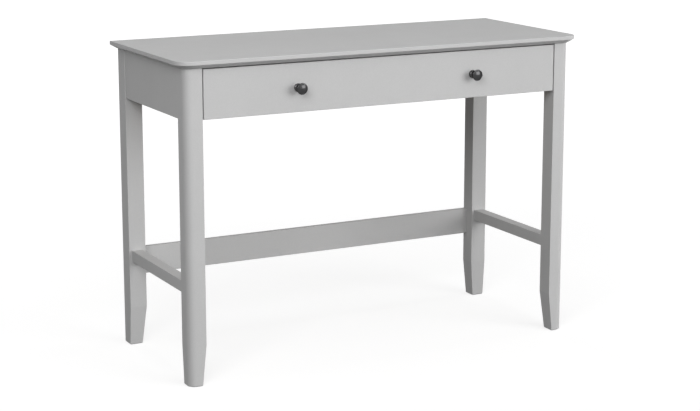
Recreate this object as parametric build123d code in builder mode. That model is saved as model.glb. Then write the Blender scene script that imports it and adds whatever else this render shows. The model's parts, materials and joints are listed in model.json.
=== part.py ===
"""A painted writing desk with one wide drawer on telescopic slides.

Millimetres. X runs along the desk, Y from its front to its back and Z upwards.
The origin is on the floor, in the middle of the desk's outer box, knobs included.
"""

import os
from math import hypot

from build123d import *

# Tabletop
top_width = 1100
height = 780
top_thickness = 19
top_edge_height = 9
top_bevel_run = 17
top_edge_round = 1.5
side_overhang = 20
front_overhang = 20
rear_overhang = 3

# Legs
leg_span = 432
leg_size = 44
leg_corner_radius = 20
leg_arris = 1
foot_height = 100
foot_taper_width = 10.5
foot_taper_depth = 8
foot_chamfer = 2

# Boards between the legs
apron_height = 121
apron_thickness = 20
board_setback = 1
board_arris = 1
front_rail_height = 24
front_rail_depth = 20
side_stretcher_size = 29
rear_stretcher_height = 70
rear_stretcher_thickness = 15
stretcher_top = 249

# Mortise and tenon joints
tenon_length = 22
tenon_thickness = 8
tenon_shoulder = 7
joint_clearance = 0.1

# Strips inside the frame
cleat_size = 20
cleat_end_gap = 30
batten_height = 60
batten_end_gap = 0.3

# Drawer
drawer_front_thickness = 18
drawer_front_arris = 1
drawer_gap = 3.2
drawer_rail_gap = 4
drawer_side_thickness = 12
drawer_back_thickness = 12
drawer_back_drop = 10
drawer_bottom_thickness = 5
drawer_bottom_lift = 10
drawer_box_lift = 8
drawer_groove = 6
drawer_brace_width = 60
drawer_tail = 6
drawer_rear_gap = 33

# Telescopic slides
slide_height = 45
slide_depth = 12.7
slide_sheet = 1.2
slide_running_gap = 0.3
slide_front_gap = 4
slide_screw_room = 2.4

# Knobs
knob_spacing = 483
knob_base_radius = 10
knob_flange = 3
knob_neck_radius = 5.5
knob_neck = 10
knob_head_radius = 14
knob_rim = 3
knob_dome = 3
knob_projection = 28

# Fasteners
screw_head_radius = 3.5
screw_head_height = 2
screw_shank_radius = 1.75
screw_tip = 3
long_screw = 32
short_screw = 18
slide_screw = 14
drawer_slide_screw = 9
slide_screw_inset = 12
batten_screw_offset = 14
back_screw_inset = 10
knob_screw_bite = 10
screw_clearance = 0.05
side_screw_count = 3
long_screw_count = 4
side_screw_margin = 40
long_screw_margin = 70

# Levels
underside = height - top_thickness
apron_bottom = underside - apron_height
rail_bottom = underside - front_rail_height
box_top = rail_bottom - drawer_rail_gap
box_bottom = apron_bottom + drawer_box_lift
panel_bottom = box_bottom + drawer_bottom_lift
panel_top = panel_bottom + drawer_bottom_thickness
slide_level = (box_top + box_bottom) / 2
front_top = underside - drawer_gap
knob_level = (front_top + apron_bottom) / 2

# Places along the depth
front_face = knob_projection - (knob_projection + leg_span + rear_overhang) / 2
rear_face = front_face + leg_span
front_leg_back = front_face + leg_size
rear_leg_front = rear_face - leg_size
top_front = front_face - front_overhang
top_rear = rear_face + rear_overhang
rail_back = front_leg_back - board_setback
rail_front = rail_back - front_rail_depth
rear_board_back = rear_face - board_setback
rear_apron_front = rear_board_back - apron_thickness
box_front = front_face + drawer_front_thickness
box_rear = rear_apron_front - drawer_rear_gap
slide_front = box_front + slide_front_gap
slide_rear = box_rear - drawer_tail

# Places along the width, measured from the middle
leg_outer = top_width / 2 - side_overhang
leg_inner = leg_outer - leg_size
leg_middle = (leg_outer + leg_inner) / 2
apron_outer = leg_outer - board_setback
apron_inner = apron_outer - apron_thickness
box_outer = leg_inner - slide_depth
box_inner = box_outer - drawer_side_thickness

SIDES = {"left": -1, "right": 1}
ENDS = {"front": (front_face, front_leg_back), "rear": (rear_leg_front, rear_face)}
SHOULDERS = {"front": front_leg_back, "rear": rear_leg_front}
INTO_LEG = {"front": -1, "rear": 1}

os.makedirs("parts", exist_ok=True)


def finish(piece, name):
    """Label a finished piece and write it."""
    piece.part.label = name
    export_step(piece.part, f"parts/{name}.step")


def block(corner, opposite, grow=0, mode=Mode.ADD):
    """Add or cut the box between two opposite corners, grown on every side."""
    middle = tuple((a + b) / 2 for a, b in zip(corner, opposite))
    size = tuple(abs(a - b) + 2 * grow for a, b in zip(corner, opposite))
    with Locations(middle):
        Box(*size, mode=mode)


def recess(corner, opposite):
    """Cut room for a tenon, panel or board end, with the joint's clearance."""
    block(corner, opposite, grow=joint_clearance, mode=Mode.SUBTRACT)


def spread(count, start, end, margin):
    """Even places between two ends, kept a margin away from both."""
    step = (end - start - 2 * margin) / (count - 1)
    return [start + margin + step * n for n in range(count)]


# Tenons, each as two opposite corners


def side_tenon(side, end, middle, thickness, low, high):
    """A tenon along the depth, from a side board into a leg."""
    x = SIDES[side] * middle
    y = SHOULDERS[end]
    tip = y + INTO_LEG[end] * tenon_length
    return (x - thickness / 2, y, low), (x + thickness / 2, tip, high)


def cross_tenon(side, middle, thickness, low, high):
    """A tenon along the width, from a front or rear board into a leg."""
    shoulder = SIDES[side] * leg_inner
    tip = SIDES[side] * (leg_inner + tenon_length)
    return (shoulder, middle - thickness / 2, low), (tip, middle + thickness / 2, high)


def side_apron_tenon(side, end):
    middle = (apron_outer + apron_inner) / 2
    low = apron_bottom + tenon_shoulder
    return side_tenon(side, end, middle, tenon_thickness, low, underside - tenon_shoulder)


def side_stretcher_tenon(side, end):
    low = stretcher_top - side_stretcher_size + tenon_shoulder
    thickness = side_stretcher_size - 2 * tenon_shoulder
    return side_tenon(side, end, leg_middle, thickness, low, stretcher_top - tenon_shoulder)


def rear_apron_tenon(side):
    middle = (rear_apron_front + rear_board_back) / 2
    low = apron_bottom + tenon_shoulder
    return cross_tenon(side, middle, tenon_thickness, low, underside - tenon_shoulder)


def rear_stretcher_tenon(side):
    middle = rear_board_back - rear_stretcher_thickness / 2
    low = stretcher_top - rear_stretcher_height + tenon_shoulder
    return cross_tenon(side, middle, tenon_thickness, low, stretcher_top - tenon_shoulder)


def front_rail_tenon(side):
    middle = (rail_front + rail_back) / 2
    low = rail_bottom + tenon_shoulder
    return cross_tenon(side, middle, tenon_thickness, low, underside - tenon_shoulder)


# Screws. Each kind points along its own +Z, with its head at the origin


def wood_screw(length, grow=0):
    """A countersunk wood screw, or with grow the hole that it goes into."""
    head = screw_head_radius + grow
    shank = screw_shank_radius + grow
    tip = length + grow
    with BuildPart() as screw:
        with BuildSketch(Plane.XZ):
            with BuildLine():
                Polyline(
                    (0, 0),
                    (head, 0),
                    (shank, screw_head_height),
                    (shank, tip - screw_tip),
                    (0, tip),
                    close=True,
                )
            make_face()
        revolve(axis=Axis.Z)
    return screw.part


def pan_screw(length, grow=0):
    """A screw whose pan head stands on the surface, or with grow its hole."""
    shank = screw_shank_radius + grow
    with BuildPart() as screw:
        Cylinder(shank, length + grow, align=(Align.CENTER, Align.CENTER, Align.MIN))
        Cylinder(
            screw_head_radius + grow,
            screw_head_height,
            align=(Align.CENTER, Align.CENTER, Align.MAX),
        )
    return screw.part


def drill(hole, places):
    """Cut a hole at each place out of the piece in hand."""
    with Locations(*places):
        add(hole, mode=Mode.SUBTRACT)


def fasteners(screw, places, name):
    """Write a group of like screws as one node."""
    with BuildPart() as group:
        with Locations(*places):
            add(screw)
    finish(group, name)


def aim(direction, x, y, z):
    """A place for a screw whose head is at a point and whose tip lies that way."""
    return Plane(origin=(x, y, z), z_dir=direction)


UP = (0, 0, 1)
BACK = (0, 1, 0)
FRONT = (0, -1, 0)


def outward(side):
    return (SIDES[side], 0, 0)


def inward(side):
    return (-SIDES[side], 0, 0)


side_run = spread(side_screw_count, front_leg_back, rear_leg_front, side_screw_margin)
long_run = spread(long_screw_count, -leg_inner, leg_inner, long_screw_margin)
slide_run = spread(side_screw_count, slide_front, slide_rear, slide_screw_inset)

cleat_side_middle = apron_inner - cleat_size / 2
cleat_rear_middle = rear_apron_front - cleat_size / 2
cleat_bottom = underside - cleat_size
cleat_level = underside - cleat_size / 2
rail_middle = (rail_front + rail_back) / 2
batten_level = slide_level + batten_screw_offset
back_middle = box_rear - drawer_back_thickness / 2
back_top = box_top - drawer_back_drop

cleat_top_places = [aim(UP, x, cleat_rear_middle, cleat_bottom) for x in long_run]
rail_top_places = [aim(UP, x, rail_middle, rail_bottom) for x in long_run]
cleat_places = [aim(BACK, x + cleat_size, rear_apron_front - cleat_size, cleat_level) for x in long_run]
batten_places = []
slide_places = []
drawer_slide_places = []
back_places = []
for side, sign in SIDES.items():
    cleat_top_places += [aim(UP, sign * cleat_side_middle, y, cleat_bottom) for y in side_run]
    cleat_places += [
        aim(outward(side), sign * (apron_inner - cleat_size), y + cleat_size, cleat_level) for y in side_run
    ]
    batten_places += [aim(outward(side), sign * leg_inner, y, batten_level) for y in side_run]
    slide_places += [aim(outward(side), sign * (leg_inner - slide_sheet), y, slide_level) for y in slide_run]
    drawer_slide_places += [
        aim(inward(side), sign * (box_outer + slide_sheet), y, slide_level) for y in slide_run
    ]
    back_places += [
        aim(inward(side), sign * box_outer, back_middle, z)
        for z in (panel_top + back_screw_inset, back_top - back_screw_inset)
    ]
top_places = cleat_top_places + rail_top_places
bottom_run = spread(long_screw_count, -box_inner, box_inner, long_screw_margin)
bottom_places = [aim(UP, x, back_middle, panel_bottom) for x in bottom_run]
knob_places = [aim(FRONT, sign * knob_spacing / 2, box_front, knob_level) for sign in SIDES.values()]

long_hole = wood_screw(long_screw, screw_clearance)
short_hole = wood_screw(short_screw, screw_clearance)
slide_hole = pan_screw(slide_screw, screw_clearance)
drawer_slide_hole = pan_screw(drawer_slide_screw, screw_clearance)
knob_screw = drawer_front_thickness + knob_screw_bite
knob_hole = pan_screw(knob_screw, screw_clearance)


# Tabletop


def top_outline(level, inset):
    """The tabletop's outline at a level, drawn in at its sides and front."""
    front = top_front + inset
    half = top_width / 2 - inset
    with BuildSketch(Plane.XY.offset(level)) as outline:
        with Locations((0, (front + top_rear) / 2)):
            Rectangle(2 * half, top_rear - front)
        corners = outline.vertices().group_by(Axis.Y)[0]
        fillet(corners, leg_corner_radius + side_overhang - inset)
    return outline.sketch


bevel_bottom = top_outline(underside, top_bevel_run)
bevel_top = top_outline(height - top_edge_height, 0)
with BuildPart() as tabletop:
    extrude(bevel_top, amount=top_edge_height)
    fillet(tabletop.faces().sort_by(Axis.Z)[-1].edges(), top_edge_round)
    loft([bevel_bottom, bevel_top], ruled=True)
    drill(long_hole, top_places)
finish(tabletop, "tabletop")


# Legs


def leg_section(level, side, end, narrow, shallow, inset=0):
    """A leg's section at a level, drawn in at its two inner faces, and all round by an inset."""
    outer = SIDES[side] * (leg_outer - inset)
    inner = SIDES[side] * (leg_inner + narrow + inset)
    front, back = ENDS[end]
    if end == "front":
        back -= shallow
    else:
        front += shallow
    front += inset
    back -= inset
    with BuildSketch(Plane.XY.offset(level)) as section:
        with Locations(((outer + inner) / 2, (front + back) / 2)):
            Rectangle(abs(outer - inner), back - front)
        corners = section.vertices().sort_by_distance((outer, front_face, 0))
        fillet(corners[0], leg_corner_radius if end == "front" else leg_arris)
        fillet(corners[1:], leg_arris)
    return section.sketch


def make_leg(side, end):
    sole = leg_section(0, side, end, foot_taper_width, foot_taper_depth, foot_chamfer)
    foot = leg_section(foot_chamfer, side, end, foot_taper_width, foot_taper_depth)
    shaft = leg_section(foot_height, side, end, 0, 0)
    with BuildPart() as leg:
        extrude(shaft, amount=underside - foot_height)
        loft([foot, shaft], ruled=True)
        loft([sole, foot], ruled=True)
        recess(*side_apron_tenon(side, end))
        recess(*side_stretcher_tenon(side, end))
        if end == "front":
            recess(*front_rail_tenon(side))
        else:
            recess(*rear_apron_tenon(side))
            recess(*rear_stretcher_tenon(side))
        drill(slide_hole, slide_places)
    finish(leg, f"{end}_{side}_leg")


for end in ENDS:
    for side in SIDES:
        make_leg(side, end)


# Aprons, front rail and stretchers


def make_side_apron(side):
    sign = SIDES[side]
    with BuildPart() as apron:
        block(
            (sign * apron_outer, front_leg_back, apron_bottom),
            (sign * apron_inner, rear_leg_front, underside),
        )
        fillet(apron.edges().filter_by(Axis.Y).group_by(Axis.Z)[0], board_arris)
        for end in ENDS:
            block(*side_apron_tenon(side, end))
        drill(long_hole, cleat_places + batten_places)
    finish(apron, f"{side}_apron")


def make_side_stretcher(side):
    middle = SIDES[side] * leg_middle
    half = side_stretcher_size / 2
    with BuildPart() as stretcher:
        block(
            (middle - half, front_leg_back, stretcher_top - side_stretcher_size),
            (middle + half, rear_leg_front, stretcher_top),
        )
        fillet(stretcher.edges(), board_arris)
        for end in ENDS:
            block(*side_stretcher_tenon(side, end))
    finish(stretcher, f"{side}_stretcher")


for side in SIDES:
    make_side_apron(side)
    make_side_stretcher(side)

with BuildPart() as rear_apron:
    block((-leg_inner, rear_apron_front, apron_bottom), (leg_inner, rear_board_back, underside))
    fillet(rear_apron.edges().filter_by(Axis.X).group_by(Axis.Z)[0], board_arris)
    for side in SIDES:
        block(*rear_apron_tenon(side))
    drill(long_hole, cleat_places)
finish(rear_apron, "rear_apron")

with BuildPart() as front_rail:
    block((-leg_inner, rail_front, rail_bottom), (leg_inner, rail_back, underside))
    fillet(front_rail.edges().filter_by(Axis.X).group_by(Axis.Z)[0], board_arris)
    for side in SIDES:
        block(*front_rail_tenon(side))
    drill(long_hole, rail_top_places)
finish(front_rail, "front_rail")

with BuildPart() as rear_stretcher:
    block(
        (-leg_inner, rear_board_back - rear_stretcher_thickness, stretcher_top - rear_stretcher_height),
        (leg_inner, rear_board_back, stretcher_top),
    )
    fillet(rear_stretcher.edges(), board_arris)
    for side in SIDES:
        block(*rear_stretcher_tenon(side))
finish(rear_stretcher, "rear_stretcher")


# Cleats under the tabletop and battens behind the slides


def make_side_cleat(side):
    sign = SIDES[side]
    with BuildPart() as cleat:
        block(
            (sign * apron_inner, front_leg_back + cleat_end_gap, cleat_bottom),
            (sign * (apron_inner - cleat_size), rear_leg_front - cleat_end_gap, underside),
        )
        drill(long_hole, cleat_top_places + cleat_places)
    finish(cleat, f"{side}_cleat")


def make_batten(side):
    sign = SIDES[side]
    half = batten_height / 2
    with BuildPart() as batten:
        block(
            (sign * apron_inner, front_leg_back + batten_end_gap, slide_level - half),
            (sign * leg_inner, rear_leg_front - batten_end_gap, slide_level + half),
        )
        drill(long_hole, batten_places)
        drill(slide_hole, slide_places)
    finish(batten, f"{side}_batten")


for side in SIDES:
    make_side_cleat(side)
    make_batten(side)

with BuildPart() as rear_cleat:
    block(
        (-leg_inner + cleat_end_gap, rear_apron_front - cleat_size, cleat_bottom),
        (leg_inner - cleat_end_gap, rear_apron_front, underside),
    )
    drill(long_hole, cleat_top_places + cleat_places)
finish(rear_cleat, "rear_cleat")


# Telescopic slides: three channels, one inside the other


def channel(side, web, rim, half_height):
    """A channel with its web at one distance from the leg and its rims at another."""
    sign = SIDES[side]
    thickness = slide_sheet if rim > web else -slide_sheet
    block(
        (sign * (leg_inner - web), slide_front, slide_level - half_height),
        (sign * (leg_inner - web - thickness), slide_rear, slide_level + half_height),
    )
    for edge in (-half_height, half_height - slide_sheet):
        block(
            (sign * (leg_inner - web), slide_front, slide_level + edge),
            (sign * (leg_inner - rim), slide_rear, slide_level + edge + slide_sheet),
        )


nesting = slide_sheet + slide_running_gap
middle_web = slide_sheet + slide_screw_room
inner_rim = middle_web + nesting
outer_rim = slide_depth - nesting
for side in SIDES:
    with BuildPart() as slide_outer:
        channel(side, 0, outer_rim, slide_height / 2)
        drill(slide_hole, slide_places)
    finish(slide_outer, f"{side}_slide_outer")

    with BuildPart() as slide_middle:
        channel(side, middle_web, outer_rim, slide_height / 2 - nesting)
    finish(slide_middle, f"{side}_slide_middle")

    with BuildPart() as slide_inner:
        channel(side, slide_depth, inner_rim, slide_height / 2 - 2 * nesting)
        drill(drawer_slide_hole, drawer_slide_places)
    finish(slide_inner, f"{side}_slide_inner")


# Drawer


def side_board(side):
    """The drawer side's opposite corners, with its front end in the drawer front."""
    sign = SIDES[side]
    return (
        (sign * box_outer, box_front - drawer_groove, box_bottom),
        (sign * box_inner, box_rear, box_top),
    )


panel_half = box_inner + drawer_groove
bottom_board = (
    (-panel_half, box_front - drawer_groove, panel_bottom),
    (panel_half, box_rear, panel_top),
)

with BuildPart() as drawer_front:
    block(
        (-leg_inner + drawer_gap, front_face, apron_bottom),
        (leg_inner - drawer_gap, box_front, front_top),
    )
    fillet(drawer_front.faces().sort_by(Axis.Y)[0].edges(), drawer_front_arris)
    for side in SIDES:
        recess(*side_board(side))
    recess(*bottom_board)
    drill(knob_hole, knob_places)
finish(drawer_front, "drawer_front")

for side in SIDES:
    with BuildPart() as drawer_side:
        block(*side_board(side))
        fillet(drawer_side.edges().filter_by(Axis.Y).group_by(Axis.Z)[-1], board_arris)
        recess(*bottom_board)
        drill(drawer_slide_hole, drawer_slide_places)
        drill(long_hole, back_places)
    finish(drawer_side, f"drawer_{side}_side")

with BuildPart() as drawer_back:
    block((-box_inner, box_rear - drawer_back_thickness, panel_top), (box_inner, box_rear, back_top))
    fillet(drawer_back.edges().filter_by(Axis.X).group_by(Axis.Z)[-1], board_arris)
    drill(long_hole, back_places)
    drill(short_hole, bottom_places)
finish(drawer_back, "drawer_back")

with BuildPart() as drawer_bottom:
    block(*bottom_board)
    drill(short_hole, bottom_places)
finish(drawer_bottom, "drawer_bottom")

with BuildPart() as drawer_brace:
    half = drawer_brace_width / 2
    block((-half, box_front, box_bottom), (half, box_rear, panel_bottom))
finish(drawer_brace, "drawer_brace")


# Knobs


def make_knob(side):
    """A turned knob: flange, waist, round rim and domed head about an axis along the depth."""
    origin = (SIDES[side] * knob_spacing / 2, front_face, knob_level)
    profile = Plane(origin=origin, x_dir=(1, 0, 0), z_dir=(0, 0, -1))
    rim_front = knob_projection - knob_dome
    rim_back = rim_front - knob_rim
    rim_middle = (rim_front + rim_back) / 2
    face_radius = knob_head_radius - knob_rim / 2
    cap_radius = (face_radius**2 + knob_dome**2) / (2 * knob_dome)
    cove_radius = hypot(knob_base_radius - knob_neck_radius, knob_neck - knob_flange)
    flare_radius = hypot(face_radius - knob_neck_radius, rim_back - knob_neck)
    with BuildPart() as knob:
        with BuildSketch(profile):
            with BuildLine():
                Polyline((0, 0), (knob_base_radius, 0), (knob_base_radius, knob_flange))
                RadiusArc((knob_base_radius, knob_flange), (knob_neck_radius, knob_neck), cove_radius)
                RadiusArc((knob_neck_radius, knob_neck), (face_radius, rim_back), flare_radius)
                ThreePointArc((face_radius, rim_back), (knob_head_radius, rim_middle), (face_radius, rim_front))
                RadiusArc((face_radius, rim_front), (0, knob_projection), -cap_radius)
                Line((0, knob_projection), (0, 0))
            make_face()
        revolve(axis=Axis(origin, (0, 1, 0)))
        drill(knob_hole, knob_places)
    finish(knob, f"{side}_knob")


for side in SIDES:
    make_knob(side)


# Fasteners

fasteners(wood_screw(long_screw), top_places, "top_screws")
fasteners(wood_screw(long_screw), cleat_places, "cleat_screws")
fasteners(wood_screw(long_screw), batten_places, "batten_screws")
fasteners(wood_screw(long_screw), back_places, "drawer_back_screws")
fasteners(wood_screw(short_screw), bottom_places, "drawer_bottom_screws")
fasteners(pan_screw(slide_screw), slide_places, "slide_screws")
fasteners(pan_screw(drawer_slide_screw), drawer_slide_places, "drawer_slide_screws")
fasteners(pan_screw(knob_screw), knob_places, "knob_screws")
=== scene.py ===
# %% [markdown]
# # A painted writing desk
# The desk is a light grey, sprayed wooden table with one wide drawer and two dark metal knobs.
# Its joinery comes in as solids that are already in place, in metres, with the floor at z = 0.
# Nearly all of their shapes are right, so they stay. What they lack is given here: paint, timber
# and metal, screws with driven heads, knobs with a clean dome, light and a camera.

# %% Load the frame
import json
import math

import bmesh
import bpy
from mathutils import Matrix, Vector

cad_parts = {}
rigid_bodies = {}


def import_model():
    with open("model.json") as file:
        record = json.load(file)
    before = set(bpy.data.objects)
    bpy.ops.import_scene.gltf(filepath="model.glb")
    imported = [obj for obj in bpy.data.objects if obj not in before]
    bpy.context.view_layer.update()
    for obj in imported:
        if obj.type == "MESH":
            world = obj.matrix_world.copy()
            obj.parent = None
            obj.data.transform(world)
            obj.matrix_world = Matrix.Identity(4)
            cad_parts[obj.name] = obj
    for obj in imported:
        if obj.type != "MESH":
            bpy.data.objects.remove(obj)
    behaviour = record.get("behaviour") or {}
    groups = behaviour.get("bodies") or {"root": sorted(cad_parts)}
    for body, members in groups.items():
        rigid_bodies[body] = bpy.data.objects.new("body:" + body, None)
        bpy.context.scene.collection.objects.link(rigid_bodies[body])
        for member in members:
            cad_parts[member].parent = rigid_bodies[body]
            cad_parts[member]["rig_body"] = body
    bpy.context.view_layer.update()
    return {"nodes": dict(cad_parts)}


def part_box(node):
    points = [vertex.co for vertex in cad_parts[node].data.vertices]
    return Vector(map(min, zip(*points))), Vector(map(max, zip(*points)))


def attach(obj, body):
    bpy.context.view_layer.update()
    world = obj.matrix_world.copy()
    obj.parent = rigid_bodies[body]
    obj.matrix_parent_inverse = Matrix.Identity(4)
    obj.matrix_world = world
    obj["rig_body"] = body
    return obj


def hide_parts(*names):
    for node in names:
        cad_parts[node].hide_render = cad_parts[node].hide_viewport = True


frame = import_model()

nodes = frame["nodes"]
scene = bpy.context.scene
scene.view_settings.view_transform = "Standard"
bpy.ops.object.select_all(action="DESELECT")

# %% [markdown]
# ## The camera
# The picture was taken from the left of the desk's front with a long lens, a little above the top.
# A camera is an object like any other: where it stands and how it is turned give the viewpoint,
# and the lens gives how much it takes in. It could be aimed by a constraint, but plain angles can
# be fitted to a picture. Turned down, it would let the legs lean together, so a small lens shift
# takes over part of the tilt and keeps them nearly upright.

# %% Camera
CAMERA_PLACE = (-2.039, -3.8915, 1.321)
CAMERA_TURN = -27.70
CAMERA_TILT = 11.48
SENSOR_WIDTH = 36
LENS = 90.18
LENS_SHIFT = -0.0436

bpy.ops.object.camera_add(
    location=CAMERA_PLACE,
    rotation=(math.radians(90 - CAMERA_TILT), 0, math.radians(CAMERA_TURN)),
)
camera = bpy.context.object
camera.name = "desk_camera"
camera.data.sensor_width = SENSOR_WIDTH
camera.data.lens = LENS
camera.data.shift_y = LENS_SHIFT
scene.camera = camera
print("camera:", LENS, "mm lens at", CAMERA_PLACE)

# %% [markdown]
# ## Helpers for node trees
# Every finish below is a small graph of nodes. By hand it would be drawn in the shader editor. In a
# script, helpers keep it readable: one places a node and sets its values by name, one joins an
# output to an input, two start a group or a material, and one puts a group to use.

# %% Node helpers
def place_node(tree, kind, settings=(), **values):
    """Add a node, set its own settings, then its unconnected inputs by name."""
    made = tree.nodes.new(kind)
    for name, value in dict(settings).items():
        setattr(made, name, value)
    for name, value in values.items():
        made.inputs[name.replace("_", " ")].default_value = value
    return made


def wire(tree, source, output, target, entry):
    """Join one node's output to another node's input, by name or number."""
    tree.links.new(source.outputs[output], target.inputs[entry])


def new_group(name, entries, results):
    """Start a shader node group with named inputs and outputs."""
    group = bpy.data.node_groups.new(name, "ShaderNodeTree")
    for label, kind, value in entries:
        socket = group.interface.new_socket(label, in_out="INPUT", socket_type=kind)
        if value is not None:
            socket.default_value = value
    for label, kind in results:
        group.interface.new_socket(label, in_out="OUTPUT", socket_type=kind)
    return group, group.nodes.new("NodeGroupInput"), group.nodes.new("NodeGroupOutput")


def use_group(tree, group, **values):
    """Place a group in a tree, with its own values."""
    return place_node(tree, "ShaderNodeGroup", {"node_tree": group}, **values)


def new_finish(name):
    """Start a material that has a Principled shader and nothing else."""
    finish = bpy.data.materials.new(name)
    finish.use_nodes = True
    tree = finish.node_tree
    tree.nodes.clear()
    shader = tree.nodes.new("ShaderNodeBsdfPrincipled")
    output = tree.nodes.new("ShaderNodeOutputMaterial")
    wire(tree, shader, "BSDF", output, "Surface")
    return finish, tree, shader


helpers = (place_node, wire, new_group, use_group, new_finish)
print("helpers:", [helper.__name__ for helper in helpers])

# %% [markdown]
# ## Light
# A plain studio. A picture of a real one could light the desk from all sides, but lamps can be set
# one by one. Two softboxes stand in front of the desk, a wide one on the right as the key and a
# square one on the left. Like any near lamp they fade with distance, so the far legs come out a
# little darker than the near ones, and the knobs show each box as a bright patch. Four sun lamps
# add light that is the same everywhere: soft ones for the front and the top, and nearly level ones
# straight from behind and from the right, for the faces that the others miss. Those two have no
# shine of their own, or they would whiten the top when it is seen against them. A little fill
# comes from all round. The background is white to the camera and to reflections only, so it adds
# no light to the desk.

# %% Lamps
LAMP_DISTANCE = 4.2
DESK_MIDDLE = Vector((0, 0, 0.5))


def add_lamp(name, kind, turn, height, level):
    """Aim a lamp at the desk, turned from the front and raised from the floor in degrees."""
    turn, height = math.radians(turn), math.radians(height)
    flat = Vector((math.sin(turn), -math.cos(turn), 0))
    way = flat * math.cos(height) + Vector((0, 0, math.sin(height)))
    bpy.ops.object.light_add(
        type=kind,
        location=DESK_MIDDLE + way * LAMP_DISTANCE,
        rotation=way.to_track_quat("Z", "Y").to_euler(),
    )
    lamp = bpy.context.object
    lamp.name = name
    lamp.data.energy = level
    lamp.visible_camera = False
    print(name, "at", [round(place, 2) for place in lamp.location])
    return lamp


def add_softbox(name, turn, height, power, width, tall):
    """A lamp with a large face, which fades with distance."""
    softbox = add_lamp(name, "AREA", turn, height, power)
    softbox.data.shape = "RECTANGLE"
    softbox.data.size = width
    softbox.data.size_y = tall


def add_even_light(name, turn, height, strength, spread, shine=True):
    """A sun lamp, as bright at the far legs as at the near ones."""
    even_light = add_lamp(name, "SUN", turn, height, strength)
    even_light.data.angle = math.radians(spread)
    even_light.visible_glossy = shine


add_softbox("key_light", turn=31, height=14, power=72, width=2.8, tall=1.9)
add_softbox("side_light", turn=-42, height=27, power=75, width=2.0, tall=2.0)
add_even_light("front_light", turn=18, height=10, strength=0.6, spread=60)
add_even_light("top_light", turn=0, height=75, strength=0.6, spread=60)
add_even_light("back_light", turn=180, height=4, strength=2.0, spread=8, shine=False)
add_even_light("right_light", turn=90, height=4, strength=1.0, spread=8, shine=False)

# %% Background
FILL_LEVEL = 0.1
WHITE = (1, 1, 1, 1)


def seen_directly(tree):
    """A mask of 1 for what the camera, a reflection or glass sees, 0 for light that bounces."""
    path = place_node(tree, "ShaderNodeLightPath")
    first = place_node(tree, "ShaderNodeMath", {"operation": "MAXIMUM"})
    both = place_node(tree, "ShaderNodeMath", {"operation": "MAXIMUM"})
    wire(tree, path, "Is Camera Ray", first, 0)
    wire(tree, path, "Is Glossy Ray", first, 1)
    wire(tree, first, 0, both, 0)
    wire(tree, path, "Is Transmission Ray", both, 1)
    return both


studio = bpy.data.worlds.new("studio")
studio.use_nodes = True
scene.world = studio
tree = studio.node_tree
level = place_node(tree, "ShaderNodeMapRange", To_Min=FILL_LEVEL, To_Max=1.0)
wire(tree, seen_directly(tree), 0, level, "Value")
wire(tree, level, "Result", tree.nodes["Background"], "Strength")
tree.nodes["Background"].inputs["Color"].default_value = WHITE
print("fill level", FILL_LEVEL)

# %% [markdown]
# ## Floor
# The floor is a plain white sheet that catches the desk's shadow. A shadow catcher would do that
# too, but it needs a see-through background. The sheet gets less light far from the softboxes, so
# to the camera it glows a little more there, just enough to reach white where nothing shades it.
# Light that bounces up from it is kept low, because the desk's lower parts are not brighter than
# its upper ones. From below it is clear, so that the underside can be seen.

# %% Floor
FLOOR_SIZE = 60
FLOOR_SHADE = 0.35
FLOOR_BOUNCE = 0.14

bpy.ops.mesh.primitive_plane_add(size=FLOOR_SIZE)
floor = bpy.context.object
floor.name = "floor"
white_floor = bpy.data.materials.new("white_floor")
white_floor.use_nodes = True
tree = white_floor.node_tree
tree.nodes.clear()
seen = seen_directly(tree)
shade = place_node(tree, "ShaderNodeMapRange", To_Min=FLOOR_BOUNCE, To_Max=FLOOR_SHADE)
matt = place_node(tree, "ShaderNodeBsdfDiffuse")
wire(tree, seen, 0, shade, "Value")
wire(tree, shade, "Result", matt, "Color")
print("floor:", FLOOR_SIZE, "m square")

# %% Floor's glow
LIT_MIDDLE = (0, -1, 0)
LIT_REACH = 6.0
NEAR_GLOW, FAR_GLOW = 0.705, 1.0

spot = place_node(tree, "ShaderNodeTexCoord")
away = place_node(tree, "ShaderNodeVectorMath", {"operation": "DISTANCE"}, Vector=LIT_MIDDLE)
level = place_node(
    tree,
    "ShaderNodeMapRange",
    From_Max=LIT_REACH,
    To_Min=NEAR_GLOW,
    To_Max=FAR_GLOW,
)
strength = place_node(tree, "ShaderNodeMath", {"operation": "MULTIPLY"})
glow = place_node(tree, "ShaderNodeEmission", Color=WHITE)
lit = place_node(tree, "ShaderNodeAddShader")
wire(tree, spot, "Object", away, 1)
wire(tree, away, "Value", level, "Value")
wire(tree, level, "Result", strength, 0)
wire(tree, seen, 0, strength, 1)
wire(tree, strength, 0, glow, "Strength")
wire(tree, matt, 0, lit, 0)
wire(tree, glow, 0, lit, 1)
print("glow:", NEAR_GLOW, "near the desk to", FAR_GLOW, "at", LIT_REACH, "m")

# %% Floor from below
clear = place_node(tree, "ShaderNodeBsdfTransparent")
either = place_node(tree, "ShaderNodeMixShader")
output = place_node(tree, "ShaderNodeOutputMaterial")
facing = place_node(tree, "ShaderNodeNewGeometry")
path = place_node(tree, "ShaderNodeLightPath")
below = place_node(tree, "ShaderNodeMath", {"operation": "MULTIPLY"})
wire(tree, facing, "Backfacing", below, 0)
wire(tree, path, "Is Camera Ray", below, 1)
wire(tree, below, 0, either, "Fac")
wire(tree, lit, 0, either, 1)
wire(tree, clear, 0, either, 2)
wire(tree, either, 0, output, "Surface")
floor.data.materials.append(white_floor)
print("floor:", white_floor.name, "with", len(tree.nodes), "nodes")

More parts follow.
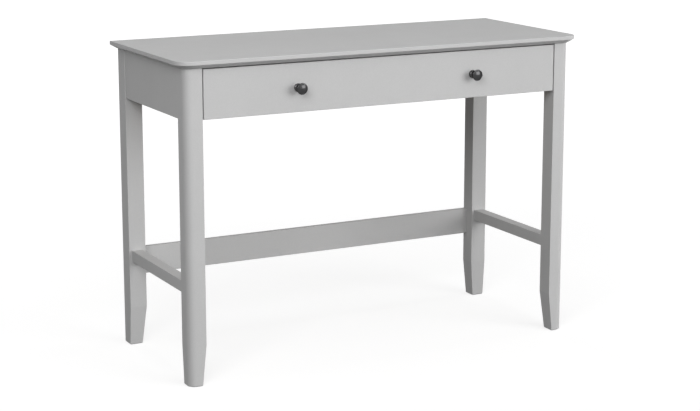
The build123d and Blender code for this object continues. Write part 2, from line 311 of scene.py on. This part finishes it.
# %% [markdown]
# ## Effects that finishes share
# Three small groups are used by more than one finish. Each material could have its own copy, but a
# group is mended in one place. Mottle turns noise into a value between two limits, for clouds of
# colour or gloss. Arris mask finds the arrises, where the finishes paint light and shade: a painted
# highlight on the grey paint, a painted dark reflection on the knobs' rims. It compares the face's
# own direction with one that is rounded off near edges. Grain draws a board's figure from rings
# round the heart of a tree, stretched along its length.

# %% Mottle group
mottle, mottle_in, mottle_out = new_group(
    "mottle",
    [
        ("Vector", "NodeSocketVector", None),
        ("Scale", "NodeSocketFloat", 10.0),
        ("Detail", "NodeSocketFloat", 3.0),
        ("Low", "NodeSocketFloat", 0.0),
        ("High", "NodeSocketFloat", 1.0),
    ],
    [("Value", "NodeSocketFloat")],
)
clouds = place_node(mottle, "ShaderNodeTexNoise", Roughness=0.55)
limits = place_node(mottle, "ShaderNodeMapRange", From_Min=0.28, From_Max=0.72)
for entry in ("Vector", "Scale", "Detail"):
    wire(mottle, mottle_in, entry, clouds, entry)
wire(mottle, clouds, "Fac", limits, "Value")
wire(mottle, mottle_in, "Low", limits, "To Min")
wire(mottle, mottle_in, "High", limits, "To Max")
wire(mottle, limits, "Result", mottle_out, "Value")
print("group:", mottle.name, [item.name for item in mottle.interface.items_tree])

# %% Arris mask group
# A mask of the arrises: the grey paint gets a painted highlight there, the knobs a painted dark
# reflection.
FLAT, TURNED = 0.995, 0.80
arris_mask, edge_in, edge_out = new_group(
    "arris_mask",
    [("Vector", "NodeSocketVector", None), ("Width", "NodeSocketFloat", 0.0015)],
    [("Mask", "NodeSocketFloat")],
)
rounded = place_node(arris_mask, "ShaderNodeBevel", {"samples": 6})
face = place_node(arris_mask, "ShaderNodeNewGeometry")
agree = place_node(arris_mask, "ShaderNodeVectorMath", {"operation": "DOT_PRODUCT"})
strip = place_node(arris_mask, "ShaderNodeMapRange", From_Min=FLAT, From_Max=TURNED)
patches = use_group(arris_mask, mottle, Scale=55.0, Low=0.75, High=1.0)
masked = place_node(arris_mask, "ShaderNodeMath", {"operation": "MULTIPLY"})
wire(arris_mask, edge_in, "Width", rounded, "Radius")
wire(arris_mask, edge_in, "Vector", patches, "Vector")
wire(arris_mask, rounded, "Normal", agree, 0)
wire(arris_mask, face, "Normal", agree, 1)
wire(arris_mask, agree, "Value", strip, "Value")
wire(arris_mask, strip, "Result", masked, 0)
wire(arris_mask, patches, "Value", masked, 1)
wire(arris_mask, masked, 0, edge_out, "Mask")
print("group:", arris_mask.name, [item.name for item in arris_mask.interface.items_tree])

# %% Grain group
RING_SCALE = 60.0
FIBRE_SCALE = 900.0
FIBRE_SHARE = 0.35
grain, grain_in, grain_out = new_group(
    "grain",
    [("Vector", "NodeSocketVector", None)],
    [("Figure", "NodeSocketFloat"), ("Pores", "NodeSocketFloat")],
)
year_rings = place_node(
    grain,
    "ShaderNodeTexWave",
    {"wave_type": "RINGS", "rings_direction": "X", "wave_profile": "SAW"},
    Scale=RING_SCALE,
    Distortion=3.5,
    Detail=2.0,
    Detail_Scale=0.25,
)
fibres = place_node(grain, "ShaderNodeTexNoise", Scale=FIBRE_SCALE, Detail=3.0, Roughness=0.6)
figure = place_node(grain, "ShaderNodeMix", {"data_type": "FLOAT"}, Factor=FIBRE_SHARE)
pores = place_node(grain, "ShaderNodeMapRange", From_Min=0.55, From_Max=0.75)
wire(grain, grain_in, "Vector", year_rings, "Vector")
wire(grain, grain_in, "Vector", fibres, "Vector")
wire(grain, year_rings, "Fac", figure, "A")
wire(grain, fibres, "Fac", figure, "B")
wire(grain, fibres, "Fac", pores, "Value")
wire(grain, figure, "Result", grain_out, "Figure")
wire(grain, pores, "Result", grain_out, "Pores")
print("group:", grain.name, [item.name for item in grain.interface.items_tree])

# %% [markdown]
# ## Grain follows the board
# A board's fibres run along its length. Unwrapped boards could carry a picture of grain, but a
# pattern on Object coordinates needs no unwrapping and has no seams. So each finish that shows
# grain is made three times: for long boards, deep ones and tall ones. A Mapping node turns the
# board's length onto X and squeezes it there, which draws the pattern out along the board.

# %% Board runs
SQUEEZE = 0.04
BOARD_TURN = {
    "long": (0, 0, 0),
    "deep": (0, 0, math.radians(-90)),
    "tall": (0, math.radians(90), 0),
}


def along_board(tree, run, heart):
    """Object coordinates as they are, and turned and squeezed so that X runs along the board."""
    spot = place_node(tree, "ShaderNodeTexCoord")
    lie = place_node(tree, "ShaderNodeMapping", Rotation=BOARD_TURN[run])
    draw = place_node(tree, "ShaderNodeMapping", Location=heart, Scale=(SQUEEZE, 1, 1))
    wire(tree, spot, "Object", lie, "Vector")
    wire(tree, lie, "Vector", draw, "Vector")
    return spot, draw


def run_of(node_name):
    """Which way a node's longest side runs."""
    low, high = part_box(node_name)
    return tuple(BOARD_TURN)[max(range(3), key=lambda axis: high[axis] - low[axis])]


print({name: run_of(name) for name in ("tabletop", "left_apron", "front_left_leg")})

# %% [markdown]
# ## Paint
# Sprayed paint is never one flat colour, and one plain value would look like plastic. It is cloudy
# over a hand's breadth, it carries a fine stipple from the spray gun, and the timber's fibres show
# through it as faint ripples. The arrises are painted a little paler, a painted highlight along the
# edges. The sheen is low, like an eggshell. Each of these is one shared effect with its own scale.

# %% Paint colour and relief
PAINT_GREY = 0.575
# The arrises are painted paler than the faces: a painted highlight along the edges.
ARRIS_HIGHLIGHT_GREY = 0.67


def paint_colour(tree, shader, cloud, stipple, arris_highlight):
    """Grey with a painted highlight on the arrises, times the clouds and the stipple."""
    tone = place_node(tree, "ShaderNodeMix", {"data_type": "FLOAT"}, A=PAINT_GREY, B=ARRIS_HIGHLIGHT_GREY)
    cloudy = place_node(tree, "ShaderNodeMath", {"operation": "MULTIPLY"})
    speckled = place_node(tree, "ShaderNodeMath", {"operation": "MULTIPLY"})
    grey = place_node(tree, "ShaderNodeCombineColor")
    wire(tree, arris_highlight, "Mask", tone, "Factor")
    wire(tree, tone, "Result", cloudy, 0)
    wire(tree, cloud, "Value", cloudy, 1)
    wire(tree, cloudy, 0, speckled, 0)
    wire(tree, stipple, "Value", speckled, 1)
    for channel in ("Red", "Green", "Blue"):
        wire(tree, speckled, 0, grey, channel)
    wire(tree, grey, "Color", shader, "Base Color")


def paint_relief(tree, shader, stipple, fibre):
    """The stipple's bumps over the fibres' faint ripples."""
    ripple = place_node(tree, "ShaderNodeBump", Strength=0.10, Distance=0.0003)
    bumps = place_node(tree, "ShaderNodeBump", Strength=0.25, Distance=0.002)
    wire(tree, fibre, "Figure", ripple, "Height")
    wire(tree, stipple, "Value", bumps, "Height")
    wire(tree, ripple, "Normal", bumps, "Normal")
    wire(tree, bumps, "Normal", shader, "Normal")


print("paint:", PAINT_GREY, "grey,", ARRIS_HIGHLIGHT_GREY, "on the arrises")

# %% Grey paint
PAINT_HEART = (0, 0.11, 0.07)
PAINT_SHINE = 0.2


def grey_paint(run):
    """Eggshell paint on a board that runs one way."""
    finish, tree, shader = new_finish("grey_paint_" + run)
    shader.inputs["Specular IOR Level"].default_value = PAINT_SHINE
    spot, draw = along_board(tree, run, PAINT_HEART)
    cloud = use_group(tree, mottle, Scale=7.0, Low=0.984, High=1.016)
    stipple = use_group(tree, mottle, Scale=430.0, Low=0.975, High=1.025)
    sheen = use_group(tree, mottle, Scale=18.0, Low=0.51, High=0.56)
    # A painted highlight along the arrises, placed by the arris mask.
    arris_highlight = use_group(tree, arris_mask, Width=0.0016)
    fibre = use_group(tree, grain)
    for effect in (cloud, stipple, sheen, arris_highlight):
        wire(tree, spot, "Object", effect, "Vector")
    wire(tree, draw, "Vector", fibre, "Vector")
    wire(tree, sheen, "Value", shader, "Roughness")
    paint_colour(tree, shader, cloud, stipple, arris_highlight)
    paint_relief(tree, shader, stipple, fibre)
    return finish


paints = {run: grey_paint(run) for run in BOARD_TURN}
print("paints:", [paint.name for paint in paints.values()])

# %% [markdown]
# ## Timber
# The drawer box, the battens and the cleats are plain pale timber, planed and left unpainted. Its
# figure is a soft saw-tooth of early and late wood, with short darker pores along the fibres. A
# picture of a plank would repeat on every board. The grain group gives figure and pores that go on
# through the whole desk, so only the colours and the planed surface are added.

# %% Timber colour
EARLY_WOOD = (0.70, 0.53, 0.34, 1)
LATE_WOOD = (0.50, 0.34, 0.19, 1)
PORE_BROWN = (0.36, 0.23, 0.12, 1)
FIGURE_SHARE = 0.65
PORE_SHARE = 0.45


def timber_colour(tree, shader, fibre, patchy):
    """Late wood where the figure and the patches are strong, and brown pores over it."""
    share = place_node(tree, "ShaderNodeMath", {"operation": "MULTIPLY_ADD"})
    share.inputs[1].default_value = FIGURE_SHARE
    wood = place_node(tree, "ShaderNodeMix", {"data_type": "RGBA"}, A=EARLY_WOOD, B=LATE_WOOD)
    faint = place_node(tree, "ShaderNodeMath", {"operation": "MULTIPLY"})
    faint.inputs[1].default_value = PORE_SHARE
    pitted = place_node(tree, "ShaderNodeMix", {"data_type": "RGBA"}, B=PORE_BROWN)
    wire(tree, fibre, "Figure", share, 0)
    wire(tree, patchy, "Value", share, 2)
    wire(tree, share, 0, wood, "Factor")
    wire(tree, fibre, "Pores", faint, 0)
    wire(tree, faint, 0, pitted, "Factor")
    wire(tree, wood, "Result", pitted, "A")
    wire(tree, pitted, "Result", shader, "Base Color")


print("timber:", EARLY_WOOD[:3], "to", LATE_WOOD[:3])

# %% Pale timber
TIMBER_HEART = (0, 0.06, 0.05)
TIMBER_SHINE = 0.35


def pale_timber(run):
    """Planed timber in a board that runs one way."""
    finish, tree, shader = new_finish("pale_timber_" + run)
    shader.inputs["Specular IOR Level"].default_value = TIMBER_SHINE
    spot, draw = along_board(tree, run, TIMBER_HEART)
    fibre = use_group(tree, grain)
    patchy = use_group(tree, mottle, Scale=9.0, Low=0.0, High=0.35)
    planed = use_group(tree, mottle, Scale=60.0, Low=0.5, High=0.66)
    relief = place_node(tree, "ShaderNodeBump", Strength=0.2, Distance=0.0004)
    wire(tree, draw, "Vector", fibre, "Vector")
    wire(tree, spot, "Object", patchy, "Vector")
    wire(tree, spot, "Object", planed, "Vector")
    wire(tree, planed, "Value", shader, "Roughness")
    wire(tree, fibre, "Figure", relief, "Height")
    wire(tree, relief, "Normal", shader, "Normal")
    timber_colour(tree, shader, fibre, patchy)
    return finish


timbers = {run: pale_timber(run) for run in BOARD_TURN}
print("timbers:", [timber.name for timber in timbers.values()])

# %% [markdown]
# ## Metal
# The knobs are turned metal with a dark, nearly black plating, and their arrises are painted darker
# still, a painted dark reflection round the rim. The slides and screws are zinc-plated steel:
# brighter, with cloudy patches
# in the plating and, on the slides, fine lines from the rollers that formed them. A grey surface
# with a gloss would look like paint. Metal shows what stands around it, so its colour is the tint
# of its reflections, and small changes in roughness keep those from looking like a mirror's.

# %% Dark knob metal
KNOB_DARK = (0.047, 0.047, 0.048, 1)
# The knobs' arrises are painted darker than their faces: a painted dark reflection on the rim.
KNOB_DARK_RIM_REFLECTION = (0.035, 0.035, 0.036, 1)
KNOB_GRAZING = (0.055, 0.055, 0.055, 1)

knob_metal, tree, shader = new_finish("dark_knob_metal")
shader.inputs["Metallic"].default_value = 1.0
shader.inputs["Specular Tint"].default_value = KNOB_GRAZING
spot = place_node(tree, "ShaderNodeTexCoord")
# The arris mask places the painted dark reflection on the knob's rim.
edge = use_group(tree, arris_mask, Width=0.0012)
polish = use_group(tree, mottle, Scale=160.0, Low=0.12, High=0.2)
grit = use_group(tree, mottle, Scale=700.0)
tone = place_node(tree, "ShaderNodeMix", {"data_type": "RGBA"}, A=KNOB_DARK, B=KNOB_DARK_RIM_REFLECTION)
relief = place_node(tree, "ShaderNodeBump", Strength=0.05, Distance=0.0002)
for effect in (edge, polish, grit):
    wire(tree, spot, "Object", effect, "Vector")
wire(tree, edge, "Mask", tone, "Factor")
wire(tree, tone, "Result", shader, "Base Color")
wire(tree, polish, "Value", shader, "Roughness")
wire(tree, grit, "Value", relief, "Height")
wire(tree, relief, "Normal", shader, "Normal")
print("metal:", knob_metal.name)

# %% Zinc-plated steel
ZINC_BRIGHT = (0.62, 0.62, 0.64, 1)
ZINC_DULL = (0.44, 0.44, 0.45, 1)
DRAWN_LINES = (1, 0.01, 1)
NO_LINES = (1, 1, 1)


def zinc_steel(name, lines):
    """Zinc plating, drawn out along the slide where the steel went through rollers."""
    finish, tree, shader = new_finish(name)
    shader.inputs["Metallic"].default_value = 1.0
    spot = place_node(tree, "ShaderNodeTexCoord")
    drawn = place_node(tree, "ShaderNodeMapping", Scale=lines)
    bloom = use_group(tree, mottle, Scale=70.0)
    rolled = use_group(tree, mottle, Scale=1400.0, Low=0.26, High=0.44)
    tone = place_node(tree, "ShaderNodeMix", {"data_type": "RGBA"}, A=ZINC_DULL, B=ZINC_BRIGHT)
    relief = place_node(tree, "ShaderNodeBump", Strength=0.08, Distance=0.0003)
    wire(tree, spot, "Object", bloom, "Vector")
    wire(tree, spot, "Object", drawn, "Vector")
    wire(tree, drawn, "Vector", rolled, "Vector")
    wire(tree, bloom, "Value", tone, "Factor")
    wire(tree, tone, "Result", shader, "Base Color")
    wire(tree, rolled, "Value", shader, "Roughness")
    wire(tree, rolled, "Value", relief, "Height")
    wire(tree, relief, "Normal", shader, "Normal")
    return finish


slide_steel = zinc_steel("slide_steel", DRAWN_LINES)
screw_steel = zinc_steel("screw_steel", NO_LINES)
print("steels:", slide_steel.name, screw_steel.name)

# %% [markdown]
# ## Dressing the solids
# Each solid comes with a plain material that is named for its finish. By hand, a new one would be
# picked for every piece. Here the name tells which material takes its place, and the solid's
# longest side tells which way its grain runs. The new screws and knobs get their metal below,
# where they are made.

# %% Dress the solids
BOARD_FINISHES = {"grey_paint": paints, "pale_timber": timbers}

for node_name, piece in nodes.items():
    plain = piece.data.materials[0].name
    if plain in BOARD_FINISHES:
        piece.data.materials[0] = BOARD_FINISHES[plain][run_of(node_name)]
    elif plain == "bright_steel":
        piece.data.materials[0] = slide_steel
print("dressed:", sorted({piece.data.materials[0].name for piece in nodes.values()}))

# %% [markdown]
# ## Screws
# The solids have plain screws, which show inside the drawer and under the top. A real screw has a
# cross in its head for the driver. Its outline could be spun round an axis, but with so few rings
# it is quicker to draw it out of a disc, by extruding and scaling the disc's face along the axis.
# A tapered cross is then cut out of the head. It is modelled in millimetres, where the operators'
# tolerances suit it, and brought to metres at the end.

# %% Modelling helpers
MILLIMETRE = 0.001
SMOOTH_BELOW = math.radians(35)


def select_only(piece):
    """Make a piece the only one that operators act on."""
    bpy.ops.object.select_all(action="DESELECT")
    piece.select_set(True)
    bpy.context.view_layer.objects.active = piece


def choose(piece, kind, test):
    """In edit mode, select only the faces or edges whose points all pass a test."""
    bpy.ops.mesh.select_mode(type="FACE" if kind == "faces" else "EDGE")
    bpy.ops.mesh.select_all(action="DESELECT")
    shape = bmesh.from_edit_mesh(piece.data)
    for part in getattr(shape, kind):
        if all(test(corner.co) for corner in part.verts):
            part.select_set(True)
    bmesh.update_edit_mesh(piece.data)


def start_disc(sides, radius):
    """A flat disc at the origin, in edit mode with its face chosen."""
    bpy.ops.mesh.primitive_circle_add(vertices=sides, radius=radius, fill_type="NGON")
    bpy.ops.object.mode_set(mode="EDIT")
    bpy.ops.mesh.select_all(action="SELECT")
    return bpy.context.object


def draw_out(advance, grow):
    """Extrude the chosen face along the axis and scale its end about it."""
    bpy.ops.mesh.extrude_region_move(TRANSFORM_OT_translate={"value": (0, 0, advance)})
    bpy.ops.transform.resize(value=(grow, grow, 1))


def leave_edit_mode():
    """Turn every face outwards and go back to object mode."""
    bpy.ops.mesh.select_all(action="SELECT")
    bpy.ops.mesh.normals_make_consistent(inside=False)
    bpy.ops.object.mode_set(mode="OBJECT")


def bring_to_metres(piece, finish):
    """Scale a selected piece from millimetres, smooth its curves and give it its metal."""
    piece.scale = (MILLIMETRE,) * 3
    bpy.ops.object.transform_apply(scale=True)
    bpy.ops.object.shade_smooth_by_angle(angle=SMOOTH_BELOW)
    piece.data.materials.append(finish)


helpers = (select_only, choose, start_disc, draw_out, leave_edit_mode, bring_to_metres)
print("helpers:", [helper.__name__ for helper in helpers])

# %% Screw blank
HEAD_RADIUS = 3.5
HEAD_HEIGHT = 2.0
SHANK_RADIUS = 1.75
TIP = 3.0
TIP_SHARE = 0.08
PAN_ROUND = 1.2
PAN_STEPS = 5
SCREW_SIDES = 32
AT_START = 1e-4


def screw_blank(length, pan):
    """A screw before its cross is cut: head at the origin, tip along +Z."""
    blank = start_disc(SCREW_SIDES, HEAD_RADIUS)
    to_shank = SHANK_RADIUS / HEAD_RADIUS
    if pan:
        draw_out(HEAD_HEIGHT, 1)
        draw_out(0, to_shank)
    else:
        draw_out(HEAD_HEIGHT, to_shank)
    draw_out(length - HEAD_HEIGHT - TIP, 1)
    draw_out(TIP, TIP_SHARE)
    if pan:
        choose(blank, "edges", lambda point: abs(point.z) < AT_START)
        bpy.ops.mesh.bevel(offset=PAN_ROUND, segments=PAN_STEPS, affect="EDGES")
    leave_edit_mode()
    return blank


print("screw blank:", 2 * HEAD_RADIUS, "mm head,", 2 * SHANK_RADIUS, "mm shank")

# %% Cross in the head
ARM_WIDTH = 1.0
ARM_LENGTH = 1.4
CROSS_TAPER = 0.42
CROSS_DEPTH = 0.9
ON_FACE = 0.01


def cross_cutter():
    """A plus sign that is drawn in towards its deep end."""
    bpy.ops.mesh.primitive_cube_add(size=ARM_WIDTH)
    cutter = bpy.context.object
    bpy.ops.object.mode_set(mode="EDIT")
    for way in ((1, 0, 0), (-1, 0, 0), (0, 1, 0), (0, -1, 0)):
        side = Vector(way)
        choose(cutter, "faces", lambda point: abs(point.dot(side) - ARM_WIDTH / 2) < ON_FACE)
        bpy.ops.mesh.extrude_region_move(TRANSFORM_OT_translate={"value": side * ARM_LENGTH})
    choose(cutter, "faces", lambda point: abs(point.z - ARM_WIDTH / 2) < ON_FACE)
    bpy.ops.transform.translate(value=(0, 0, CROSS_DEPTH))
    bpy.ops.transform.resize(value=(CROSS_TAPER, CROSS_TAPER, 1))
    leave_edit_mode()
    return cutter


def cross_head_screw(length, pan):
    """A finished screw in metres, its head at the origin and its tip along +Z."""
    screw = screw_blank(length / MILLIMETRE, pan)
    cutter = cross_cutter()
    cut = screw.modifiers.new("cross", "BOOLEAN")
    cut.operation = "DIFFERENCE"
    cut.object = cutter
    select_only(screw)
    bpy.ops.object.modifier_apply(modifier="cross")
    bpy.data.objects.remove(cutter)
    bring_to_metres(screw, screw_steel)
    return screw


print("cross:", ARM_WIDTH + 2 * ARM_LENGTH, "mm across")

# %% [markdown]
# Where do the screws go? Their solids know. A copy of each group is merged and split into loose
# parts, and each part's box tells where its head is and which way it points. That is safer than
# repeating the places here, which would have to change whenever the solids do.

# %% Screw places
MERGE_GAP = 1e-6
screw_nodes = [name for name in nodes if name.endswith("_screws")]


def screw_places(node_name):
    """The head, direction and length of every screw in a group, in a fixed order."""
    copy = nodes[node_name].copy()
    copy.data = copy.data.copy()
    scene.collection.objects.link(copy)
    select_only(copy)
    bpy.ops.object.mode_set(mode="EDIT")
    bpy.ops.mesh.select_all(action="SELECT")
    bpy.ops.mesh.remove_doubles(threshold=MERGE_GAP)
    bpy.ops.mesh.separate(type="LOOSE")
    bpy.ops.object.mode_set(mode="OBJECT")
    loose_parts = list(bpy.context.selected_objects)
    places = sorted(map(place_of, loose_parts), key=lambda place: tuple(place[0]))
    for part in loose_parts:
        bpy.data.objects.remove(part)
    return places


def place_of(part):
    """A loose screw's head, its direction and its length."""
    points = [vertex.co.copy() for vertex in part.data.vertices]
    low = Vector(map(min, zip(*points)))
    high = Vector(map(max, zip(*points)))
    middle = (low + high) / 2
    along = max(range(3), key=lambda axis: high[axis] - low[axis])
    way = Vector(float(axis == along) for axis in range(3))
    head_rim = max(points, key=lambda point: (point - middle).cross(way).length)
    if head_rim[along] > middle[along]:
        way = -way
    length = high[along] - low[along]
    return middle - way * length / 2, way, length


print("screw groups:", screw_nodes)

# %% Set the screws
PAN_HEADS = {"slide_screws", "drawer_slide_screws", "knob_screws"}
DRIVER_STEP = math.radians(37)


def set_screw(pattern, head, way, turn):
    """Copy a screw to its place and select it, its cross turned as the driver left it."""
    screw = pattern.copy()
    screw.data = pattern.data.copy()
    scene.collection.objects.link(screw)
    stand = way.to_track_quat("Z", "Y").to_matrix().to_4x4()
    screw.matrix_world = Matrix.Translation(head) @ stand @ Matrix.Rotation(turn, 4, "Z")
    screw.select_set(True)
    return screw


for node_name in screw_nodes:
    places = screw_places(node_name)
    length = places[0][2]
    pattern = cross_head_screw(length, node_name in PAN_HEADS)
    bpy.ops.object.select_all(action="DESELECT")
    for count, (head, way, _) in enumerate(places):
        screw = set_screw(pattern, head, way, count * DRIVER_STEP)
    bpy.context.view_layer.objects.active = screw
    bpy.ops.object.join()
    bpy.ops.object.transform_apply(location=True, rotation=True, scale=True)
    screw.name = node_name.replace("screws", "cross_screws")
    bpy.data.objects.remove(pattern)
    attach(screw, nodes[node_name]["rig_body"])
    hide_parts(node_name)
    print(screw.name, len(places), "screws of", round(length / MILLIMETRE), "mm")

# %% [markdown]
# ## Knobs
# The knobs are turned: a flange stands on the drawer, a hollow waist leaves room for the fingers,
# and a rounded rim runs into a shallow dome. A polished dome shows every fault in its middle, where
# the solids' triangles meet, so the knobs are made anew. An outline could be spun here too, but the
# screws' helpers can draw a knob out of a disc, ring by ring. The disc starts as the bottom of the
# screw hole, so one run of rings makes the hole, the back and the front. The hollows, the rim and
# the dome are parts of circles, and a helper finds the rings along them.

# %% Knob rings
HOLE_RADIUS, HOLE_DEPTH = 1.8, 10.05
FLANGE_RADIUS, FLANGE_HEIGHT = 10.0, 3.0
WAIST_RADIUS, WAIST_HEIGHT = 5.5, 10.0
RIM_RADIUS, RIM_HEIGHT = 14.0, 23.5
RIM_ROUND = 1.5
KNOB_HEIGHT = 28.0
DOME_RADIUS = 27.54
FLANGE_STEPS, WAIST_STEPS, RIM_STEPS, DOME_STEPS = 10, 12, 6, 12


def rings_along(start, end, radius, steps):
    """Rings from start to end along a circle: hollow, or full if its radius is negative."""
    half = (end - start) / 2
    aside = Vector((half.y, -half.x)).normalized()
    reach = math.sqrt(radius**2 - half.length_squared)
    centre = start + half + aside * math.copysign(reach, radius)
    return [
        centre + (start - centre).slerp(end - centre, step / steps) * abs(radius)
        for step in range(1, steps + 1)
    ]


back = Vector((FLANGE_RADIUS, 0))
flange = Vector((FLANGE_RADIUS, FLANGE_HEIGHT))
waist = Vector((WAIST_RADIUS, WAIST_HEIGHT))
rim = Vector((RIM_RADIUS, RIM_HEIGHT))
rim_back = rim - Vector((RIM_ROUND, RIM_ROUND))
rim_front = rim - Vector((RIM_ROUND, -RIM_ROUND))
dome_top = Vector((0, KNOB_HEIGHT))
knob_rings = [Vector((HOLE_RADIUS, HOLE_DEPTH)), Vector((HOLE_RADIUS, 0)), back, flange]
knob_rings += rings_along(flange, waist, (waist - flange).length, FLANGE_STEPS)
knob_rings += rings_along(waist, rim_back, (rim_back - waist).length, WAIST_STEPS)
knob_rings += rings_along(rim_back, rim, -RIM_ROUND, RIM_STEPS)
knob_rings += rings_along(rim, rim_front, -RIM_ROUND, RIM_STEPS)
knob_rings += rings_along(rim_front, dome_top, -DOME_RADIUS, DOME_STEPS)
print("knob:", len(knob_rings), "rings, last at", [round(size, 3) for size in knob_rings[-1]])

# %% Turn the knobs
RING_SIDES = 96
SAME_POINT = 0.001


def turned_knob():
    """A knob in metres, its back at the origin and its dome along +Z."""
    knob = start_disc(RING_SIDES, HOLE_RADIUS)
    bpy.ops.transform.translate(value=(0, 0, HOLE_DEPTH))
    for before, after in zip(knob_rings, knob_rings[1:]):
        draw_out(after.y - before.y, after.x / before.x)
    bpy.ops.mesh.select_all(action="SELECT")
    bpy.ops.mesh.remove_doubles(threshold=SAME_POINT)
    leave_edit_mode()
    bring_to_metres(knob, knob_metal)
    return knob


for side in ("left", "right"):
    low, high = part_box(f"{side}_knob")
    middle = (low + high) / 2
    bpy.ops.object.select_all(action="DESELECT")
    knob = turned_knob()
    knob.name = f"{side}_turned_knob"
    knob.location = (middle.x, high.y, middle.z)
    knob.rotation_euler = (math.radians(90), 0, 0)
    bpy.ops.object.transform_apply(location=True, rotation=True, scale=True)
    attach(knob, nodes[f"{side}_knob"]["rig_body"])
    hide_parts(f"{side}_knob")
    print(knob.name, "at", [round(place, 4) for place in (middle.x, high.y, middle.z)])
